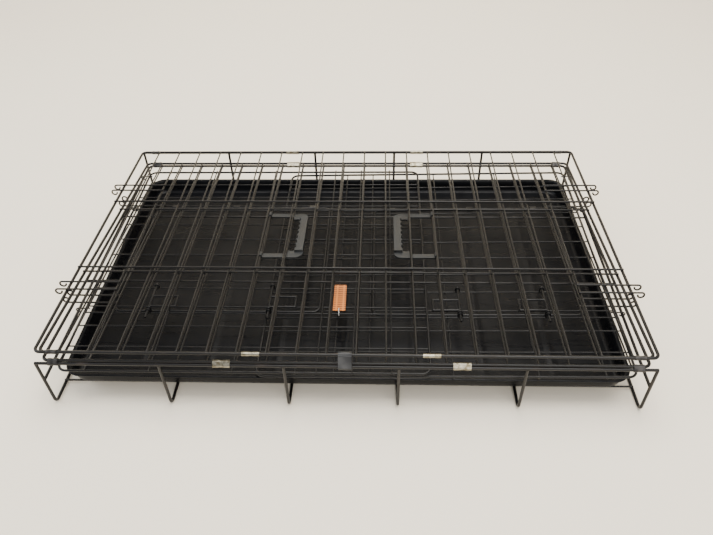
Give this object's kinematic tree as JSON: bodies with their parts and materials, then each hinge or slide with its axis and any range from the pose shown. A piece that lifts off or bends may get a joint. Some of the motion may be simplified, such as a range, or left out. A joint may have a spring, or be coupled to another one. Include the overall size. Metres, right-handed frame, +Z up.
{
  "type": "folding wire dog crate",
  "caption": "Folding wire dog crate folded flat: hinged wire panels over a plastic pan on a wire base, with end doors, latches and carrying handles.",
  "frame": {"origin": "on the floor, under the middle of the crate's length and of its folded depth", "axes": "+X along the length, +Y towards the back hinge side, +Z up; folded flat at rest"},
  "size_m": [0.955, 0.5934, 0.1199],
  "materials": {
    "black_wire": "black baked coating on steel wire, satin",
    "zinc_steel": "bare zinc-plated sheet, lightly tarnished",
    "black_plastic": "matt moulded plastic",
    "pan_plastic": "vacuum-formed plastic, soft sheen",
    "tag_card": "blank coated card"
  },
  "bodies": {
    "base": {"base_rims": "black_wire", "base_cradles": "black_wire", "base_floor_rails": "black_wire", "base_end_bars": "black_wire", "base_side_sleeves": "zinc_steel", "base_back_sleeves": "zinc_steel", "end_left_frame": "black_wire", "end_left_bars": "black_wire", "end_left_rails": "black_wire", "end_left_hooks": "black_wire", "end_left_door_frame": "black_wire", "end_left_door_bars": "black_wire", "end_left_door_hinges": "black_wire", "end_left_keepers": "black_wire", "end_left_guides": "black_wire", "end_right_frame": "black_wire", "end_right_bars": "black_wire", "end_right_rails": "black_wire", "end_right_hooks": "black_wire", "end_right_door_frame": "black_wire", "end_right_door_bars": "black_wire", "end_right_door_hinges": "black_wire", "end_right_keepers": "black_wire", "end_right_guides": "black_wire", "hang_tag": "tag_card", "hang_tag_tie": "black_plastic"},
    "pan": {"pan": "pan_plastic"},
    "side_inner": {"side_inner_frame": "black_wire", "side_inner_bars": "black_wire", "side_inner_rails": "black_wire", "side_inner_hooks": "black_wire", "side_inner_sleeves": "zinc_steel"},
    "top": {"top_frame": "black_wire", "top_bars": "black_wire", "top_rails": "black_wire", "top_sleeves": "zinc_steel", "handle_left": "black_plastic", "handle_right": "black_plastic"},
    "side_outer": {"side_outer_frame": "black_wire", "side_outer_bars": "black_wire", "side_outer_rails": "black_wire", "side_outer_hooks": "black_wire"},
    "closing_clip": {"closing_clip": "black_plastic"},
    "latch_left_front": {"end_left_latch_front": "black_wire"},
    "latch_left_rear": {"end_left_latch_rear": "black_wire"},
    "latch_right_front": {"end_right_latch_front": "black_wire"},
    "latch_right_rear": {"end_right_latch_rear": "black_wire"}
  },
  "joints": [
    {"name": "raise_sides", "type": "hinge", "parent": "base", "child": "side_inner", "pos_m": [0, -0.28854, 0.10146], "axis": [1, 0, 0], "range_deg": [0, 92.47]},
    {"name": "top_swing", "type": "hinge", "parent": "side_inner", "child": "top", "pos_m": [0, 0.2866, 0.07416], "axis": [-1, 0, 0], "range_deg": [0, 269.2]},
    {"name": "side_outer_swing", "type": "hinge", "parent": "top", "child": "side_outer", "pos_m": [0, -0.284, 0.1148], "axis": [1, 0, 0], "range_deg": [0, 88.2]},
    {"name": "clip_swing", "type": "hinge", "parent": "side_outer", "child": "closing_clip", "pos_m": [0, -0.284, 0.1148], "axis": [-1, 0, 0], "range_deg": [0, 26]},
    {"name": "pan_slide", "type": "slide", "parent": "base", "child": "pan", "axis": [-1, 0, 0], "range_m": [0, 0.9]},
    {"name": "latch_left_front_slide", "type": "slide", "parent": "base", "child": "latch_left_front", "axis": [0, 1, 0], "range_m": [0, 0.022]},
    {"name": "latch_left_rear_slide", "type": "slide", "parent": "base", "child": "latch_left_rear", "axis": [0, 1, 0], "range_m": [0, 0.022]},
    {"name": "latch_right_front_slide", "type": "slide", "parent": "base", "child": "latch_right_front", "axis": [0, 1, 0], "range_m": [0, 0.022]},
    {"name": "latch_right_rear_slide", "type": "slide", "parent": "base", "child": "latch_right_rear", "axis": [0, 1, 0], "range_m": [0, 0.022]}
  ],
  "couplings": [
    {"joint": "top_swing", "follows": "raise_sides", "ratio": 2.9059},
    {"joint": "side_outer_swing", "follows": "raise_sides", "ratio": 0.94977}
  ]
}
